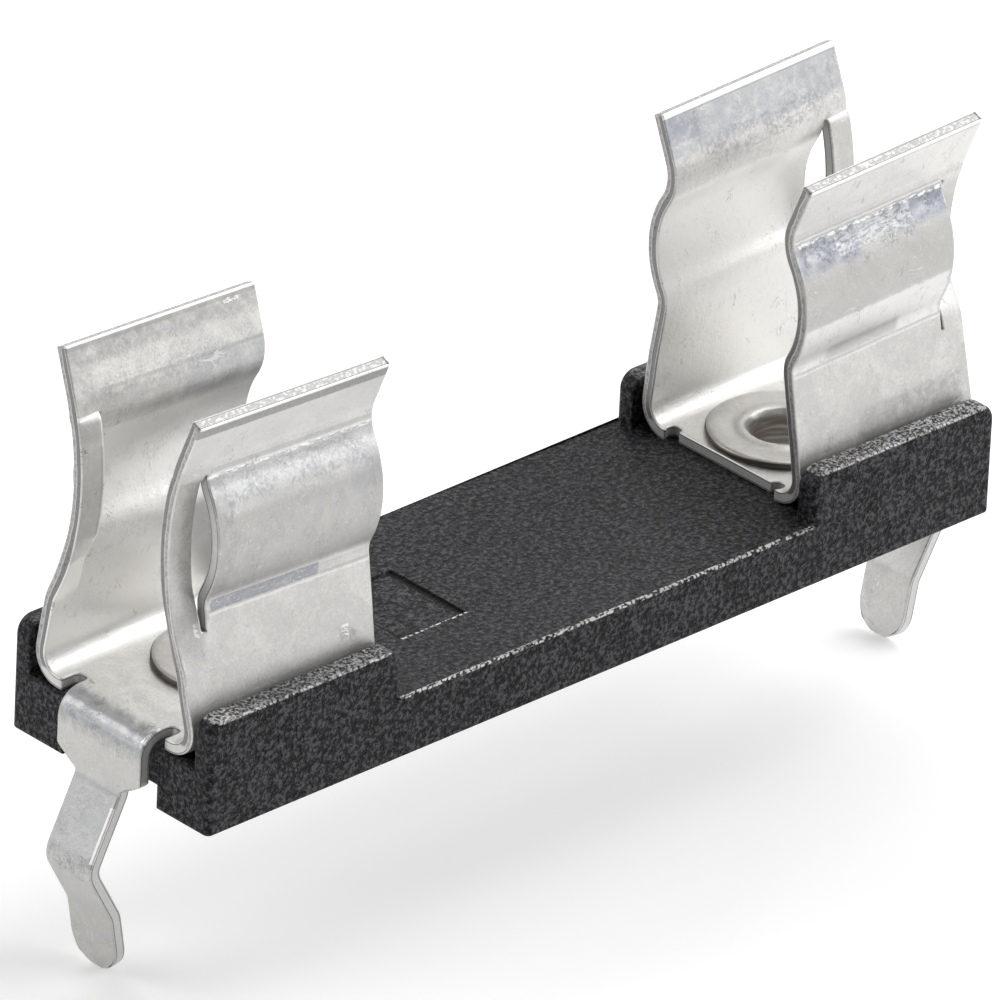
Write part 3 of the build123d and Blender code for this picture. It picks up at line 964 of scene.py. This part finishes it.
def rivetMaterial(name, look, form, side):
    material, start = newTree(name)
    place = inMillimetres(start)
    x, y, z = place.part(0) - side * form["at"], place.part(1), place.part(2)
    far = start.node("CombineXYZ", None, {"X": x, "Y": y})
    far = start.node("VectorMath", {"operation": "LENGTH"}, {0: far}, "Value")
    cloud = place.noise(*look["cloud"], 3)
    fine = place.noise(*look["fine"], 5)
    # turned rings: noise along the radius; streaks in the bore run round it
    turned = (far * 9).math("SINE") * 0.5 + cloud
    streak = place.stretch(0.6, 0.6, 7).noise(*look["streaks"], 7)
    tone = cloud.ease(0.36, 0.64) * 0.6 + fine.ease(0.3, 0.7) * 0.4
    colour = tone.tint(look["dull"], look["pale"])
    # a painted contact shadow round the flange's edge, and the bore, darker and browner with
    # streaks
    edge = far.ease(form["flange"] - 0.09, form["flange"] - 0.05)
    edge = edge * z.span(form["under"], form["top"] - 0.06, 0.02)
    colour = edge.tint(colour, look["edge"])
    bore = far.ease(form["bore"] + 0.03, form["bore"])
    bore = bore * z.ease(form["top"] - 0.1, form["top"] - 0.25)
    colour = bore.tint(colour, streak.ease(0.45, 0.65).tint(look["bore"], look["streak"]))
    coat(start, cloud * 0.010 + fine * 0.004 + turned * 0.0008, {
        "Base Color": colour,
        "Metallic": look["metallic"],
        "Roughness": look["roughness"] + (fine - 0.5) * 0.25 + bore * 0.2,
    })
    return material


def makeRivet(node, form, side):
    # a turned profile of (radius, height): flange with a dish round a proud lip, the bore, and
    # the rolled rim below; the flange's edge wavers a little
    bore, flange, barrel = form["bore"], form["flange"], form["barrel"]
    under, top = form["under"], form["top"]
    rim, low, high = form["rim"], form["rimLow"], form["rimHigh"]
    profile = np.array([
        (barrel, under),
        (flange - 0.05, under),
        (flange - 0.012, under + 0.02),
        (flange, under + 0.06),
        (flange - 0.01, top - 0.07),
        (flange - 0.05, top - 0.03),
        (flange - 0.12, top - 0.018),
        (flange - 0.25, top - 0.02),
        (flange - 0.4, top - 0.025),
        (bore + 0.48, top - 0.035),
        (bore + 0.40, top - 0.04),
        (bore + 0.32, top - 0.025),
        (bore + 0.25, top - 0.004),
        (bore + 0.19, top + 0.004),
        (bore + 0.13, top - 0.008),
        (bore + 0.08, top - 0.035),
        (bore + 0.035, top - 0.09),
        (bore + 0.01, top - 0.16),
        (bore, top - 0.25),
        (bore, 1.2),
        (bore, 0.6),
        (bore + 0.01, low + 0.22),
        (bore + 0.07, low + 0.09),
        (bore + 0.2, low + 0.01),
        (bore + 0.34, low),
        (rim - 0.2, low),
        (rim - 0.06, low + 0.04),
        (rim, low + 0.15),
        (rim - 0.05, high - 0.03),
        (rim - 0.14, high),
        (barrel, high),
        (barrel, under),
    ])
    turn = np.linspace(0, 2 * np.pi, form["around"] + 1)
    slow, share, fast, fastShare = form["waver"]
    waver = 1 + share * np.sin(slow * turn + side) + fastShare * np.sin(fast * turn)
    radius, height = profile[:, :1], profile[:, 1:]
    r = radius * np.where(radius > 1.3, waver, 1)       # only the flange and the rim waver
    slow, rise, fast, fastRise = form["lip"]
    lip = rise * np.sin(slow * turn + form["lipPhase"]) + fastRise * np.sin(fast * turn + side)
    nearLip = np.exp(-((radius - bore - 0.2) / 0.1) ** 2) * (height > 1.5)
    z = height + lip * nearLip
    places = np.stack([side * form["at"] + r * np.cos(turn), r * np.sin(turn), z], -1)
    places[:, -1] = places[:, 0]
    rows, columns = places.shape[:2]
    places, faces = welded(places.reshape(-1, 3), gridFaces(rows, columns)[:, ::-1])
    piece = makePiece(node + "_turned", places, faces, node)
    piece.data.materials.append(rivetMaterial(node + "_metal", rivetLook, form, side))


# Moulded base
baseForm = {
    "halfWidth": 3.166,
    "floorTop": 1.5,
    "wallTop": 2.75,
    "wallStart": 6.19,
    "edgeRound": 0.05,
    "roundSteps": 3,
    "sharpFrom": 35.0,      # edges are rounded from this angle on, in degrees
    "panel": (-4.34, -2.44, 1.2),   # from, to along X, and half its width
}
baseLook = {
    "pit": (0.003, 0.003, 0.004),
    "body": (0.016, 0.016, 0.018),
    "tip": (0.095, 0.095, 0.102),
    "speck": (0.88, 0.87, 0.86),
    "roughness": 0.5,
    "specular": 0.14,
    "grain": (8.5, 3, 0.6, 0.0),
    "swell": (3.0, 3, 0.6, 0.3),
    "fine": (16, 2, 0.6, 0.0),
    "patchy": (1.1, 2, 0.5, 0.0),
    "sparkle": (14, 3, 0.6, 0.0),
    "dots": 11,             # worn dots along the edges, per mm: wear with painted glints
}


def mouldingMaterial(name, look, form):
    material, start = newTree(name)
    place = inMillimetres(start)
    x, y, z = place.part(0), place.part(1), place.part(2)
    # eroded grain: pits and tips about 0.08 mm across on a coarser swell
    grain = place.noise(*look["grain"], 1)
    swell = place.noise(*look["swell"], 2)
    fine = place.noise(*look["fine"], 4)
    # wear and painted glints: specks on the front top edges of the walls and of the floor between
    # them, thinning out over the walls' tops. The front walls have most, at one end each
    face = -form["halfWidth"]
    outer = y.span(face - 0.1, face + 0.05, 0.03)
    wall = z.span(form["wallTop"] - 0.06, form["wallTop"] + 0.1, 0.03)
    floor = z.span(form["floorTop"] - 0.05, form["floorTop"] + 0.05, 0.03)
    between = abs(x).ease(form["wallStart"] + 0.05, form["wallStart"])
    lowX, highX, panelY = form["panel"]
    panel = x.span(lowX, highX, 0.03) * y.span(-panelY - 0.05, -panelY + 0.02, 0.02)
    panel = panel * z.ease(form["floorTop"] - 0.06, form["floorTop"] - 0.02)
    wearAndGlint = (outer * wall.either(floor * between)).either(panel)
    front = y.ease(-2.0, -2.5)
    heavy = x.ease(4.0, 6.5) * 0.6 + x.ease(-6.0, -7.0) * 0.35 + x.ease(-10.6, -11.2) * 0.4
    heavy = front * heavy
    patchy = place.noise(*look["patchy"], 6).ease(0.36, 0.56)
    dots = place.cells(look["dots"]).ease(0.62, 0.4)
    sparkle = place.noise(*look["sparkle"], 8).ease(0.4, 0.68)
    specks = dots * wearAndGlint * (patchy * 0.3 + 0.7)
    # the walls' tops: worn specks and painted glints, most on the front walls
    topSpecks = sparkle * wall * (patchy * 0.2 + 0.05 + heavy)
    # the sides, and a painted shadow along the sunk panel's end
    side = z.ease(form["floorTop"] - 0.03, form["floorTop"] - 0.1)
    side = side.either(y.ease(face + 0.08, face + 0.02))
    panelShadow = x.span(highX - 0.12, highX + 0.02, 0.03) * abs(y).ease(panelY + 0.05, panelY)
    # the grain's lighter tips are partly painted glints off them, more so on the sides
    tone = (grain * 0.55 + fine * 0.45).ease(0.47, 0.64)
    tone = (tone * (side * 0.6 + 1.0)).tint(look["body"], look["tip"])
    tone = grain.ease(0.48, 0.38).either(panelShadow).tint(tone, look["pit"])
    coat(start, grain * (side * 0.05 + 0.06) + fine * 0.02 + swell * 0.02, {
        "Base Color": specks.either(topSpecks).tint(tone, look["speck"]),
        "Roughness": look["roughness"] + (fine - 0.5) * 0.3,
        "Specular IOR Level": look["specular"],
    })
    return material


def makeBase(form, look):
    # the CAD's own shape, with its edges rounded
    tidy = bmesh.new()
    tidy.from_mesh(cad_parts["base"].data)
    bmesh.ops.remove_doubles(tidy, verts=tidy.verts, dist=1e-6)
    bmesh.ops.dissolve_limit(tidy, angle_limit=np.radians(1), verts=tidy.verts, edges=tidy.edges)
    mesh = bpy.data.meshes.new("base_moulding")
    tidy.to_mesh(mesh)
    tidy.free()
    piece = showPiece("base_moulding", mesh, "base")
    mesh.materials.append(mouldingMaterial("moulding", look, form))
    mesh.polygons.foreach_set("use_smooth", np.ones(len(mesh.polygons), bool))
    bevel = piece.modifiers.new("Bevel", "BEVEL")
    bevel.width, bevel.segments = form["edgeRound"] * mm, form["roundSteps"]
    bevel.limit_method, bevel.angle_limit = "ANGLE", np.radians(form["sharpFrom"])
    bevel.harden_normals, bevel.use_clamp_overlap = True, False


# Studio: white floor at the legs' tips, soft lamps and a surround that is bright behind.
# Each lamp has an azimuth and elevation, in degrees like the camera's, and watts
studio = {
    "floorLevel": -4.56,
    "floorReach": 2.0,      # metres from the middle
    "floorColour": (0.86, 0.86, 0.86),
    "floorLift": 0.3,       # what eyes and mirrors see of the floor beyond its own light
    "around": 0.09,
    "behind": 0.2,
    "lampAway": 0.55,
    "lampSize": 0.45,
    "lamps": {
        "key": (45.0, 30.0, 1.5),
        "right": (90.0, 55.0, 1.75),
        "back": (155.0, 35.0, 1.2),
        "left": (225.0, 30.0, 1.15),
    },
}


def makeStudio(setup):
    world, start = newTree("surround", bpy.data.worlds)
    towards = start.node("TexCoord", out="Generated")
    level = towards.part(1).ease(0.3, 0.7) * setup["behind"] + setup["around"]
    sky = start.node("Background", None, {"Color": (1, 1, 1, 1), "Strength": level})
    start.node("OutputWorld", None, {"Surface": sky})
    bpy.context.scene.world = world

    material, start = newTree("floor_white")
    seen = start.node("LightPath", out="Is Camera Ray")
    for kind in ("Glossy", "Transmission"):
        seen = seen.either(start.node("LightPath", out="Is " + kind + " Ray"))
    paper = start.node("BsdfDiffuse", None, {"Color": (*setup["floorColour"], 1)})
    glow = seen * setup["floorLift"]
    lift = start.node("Emission", None, {"Color": (1, 1, 1, 1), "Strength": glow})
    both = start.node("AddShader", None, {0: paper, 1: lift})
    start.node("OutputMaterial", None, {"Surface": both})
    corners = np.array([(-1, -1), (1, -1), (1, 1), (-1, 1)]) * setup["floorReach"]
    mesh = bpy.data.meshes.new("floor")
    mesh.from_pydata([(*c, setup["floorLevel"] * mm) for c in corners], [], [(0, 1, 2, 3)])
    mesh.materials.append(material)
    floor = bpy.data.objects.new("floor", mesh)
    bpy.context.scene.collection.objects.link(floor)

    for name, (azimuth, elevation, power) in setup["lamps"].items():
        lamp = bpy.data.lights.new(name, "AREA")
        lamp.shape, lamp.size, lamp.energy = "DISK", setup["lampSize"], power
        back = wayTo(azimuth, elevation)
        stand(name, lamp, unit(np.cross([0, 0, 1], back)), back, back * setup["lampAway"])


makeBase(baseForm, baseLook)
print("base made")
makeClip("right_clip", clipForm, tinLook, 1, 0.0, rightMarks + kinkMarks)
makeClip("left_clip", clipForm, tinLook, -1, 50.0, leftMarks + kinkMarks)
print("clips made")
makeRivet("right_rivet", rivetForm, 1)
makeRivet("left_rivet", rivetForm, -1)
print("rivets made")
makeStudio(studio)
placeCamera(viewpoint)
bpy.context.scene.view_settings.view_transform = "Standard"
print("studio made")
